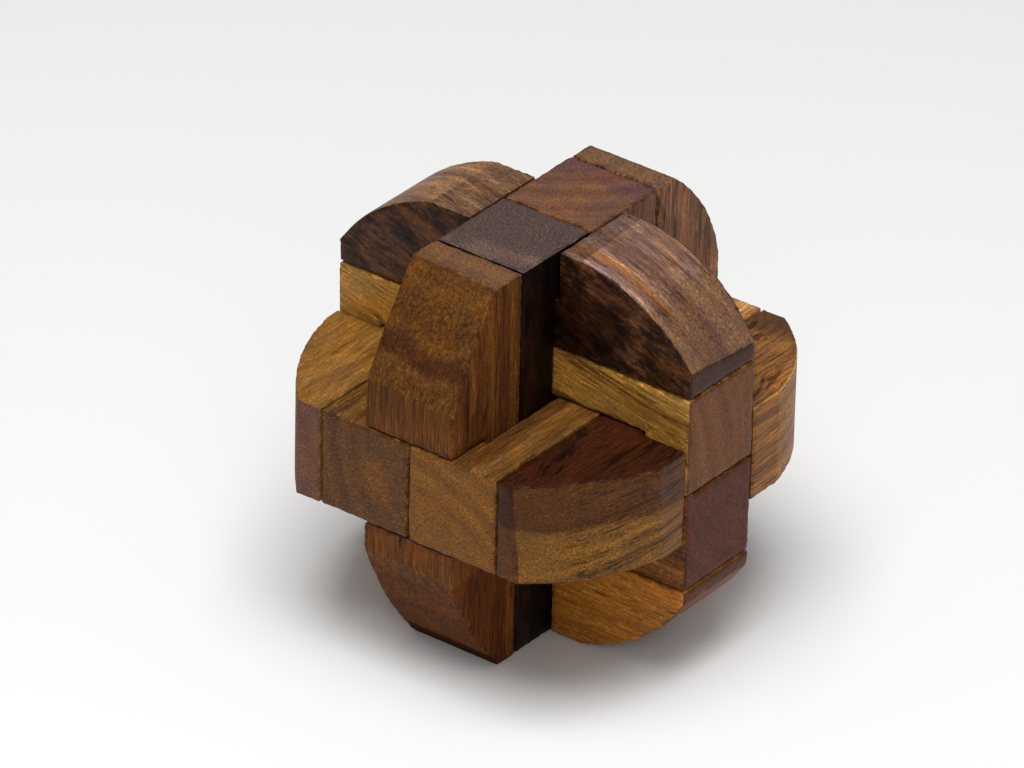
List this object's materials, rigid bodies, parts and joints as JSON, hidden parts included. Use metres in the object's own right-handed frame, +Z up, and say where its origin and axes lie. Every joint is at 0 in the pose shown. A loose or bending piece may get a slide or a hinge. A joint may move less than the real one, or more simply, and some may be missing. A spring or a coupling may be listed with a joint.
{
  "type": "wooden burr puzzle",
  "caption": "Interlocking wooden burr puzzle: crossing rows of square sticks, outer ones with rounded ends, locked by one inner upright, the key, that slides out upward.",
  "frame": {"origin": "centre of the square footprint, on the surface that the upright sticks' ends stand on", "axes": "+Z up along the upright sticks and the key's travel; +X along the cross sticks, to the right; +Y along the fore-and-aft sticks, to the back; the key is the back one of the two inner uprights"},
  "size_m": [0.08, 0.08, 0.08],
  "materials": {
    "russet_wood": "hand-rubbed satin, russet brown",
    "near_black_wood": "hand-rubbed satin, near-black brown",
    "banded_brown_wood": "hand-rubbed satin, golden brown with a dark band",
    "olive_brown_wood": "hand-rubbed satin, olive brown, finely striped",
    "dark_brown_wood": "hand-rubbed satin, dark brown with a tan stripe",
    "ochre_wood": "hand-rubbed satin, yellow ochre with thin dark streaks",
    "red_brown_wood": "hand-rubbed satin, red brown",
    "orange_brown_wood": "hand-rubbed satin, orange brown",
    "honey_wood": "hand-rubbed satin, honey brown with a darker end",
    "grey_brown_wood": "hand-rubbed satin, grey brown",
    "golden_wood": "hand-rubbed satin, golden with darker streaks",
    "two_tone_wood": "hand-rubbed satin, dark brown and ochre in two tones"
  },
  "bodies": {
    "block": {"upright_inner": "near_black_wood", "upright_outer_front": "banded_brown_wood", "upright_outer_back": "olive_brown_wood", "cross_outer_top": "dark_brown_wood", "cross_inner_upper": "ochre_wood", "cross_inner_lower": "red_brown_wood", "cross_outer_bottom": "orange_brown_wood", "fore_aft_outer_left": "honey_wood", "fore_aft_inner_left": "grey_brown_wood", "fore_aft_inner_right": "golden_wood", "fore_aft_outer_right": "two_tone_wood"},
    "key": {"key_stick": "russet_wood"}
  },
  "joints": [
    {"name": "key_slide", "type": "slide", "parent": "block", "child": "key", "axis": [0, 0, 1], "range_m": [0, 0.084]}
  ]
}
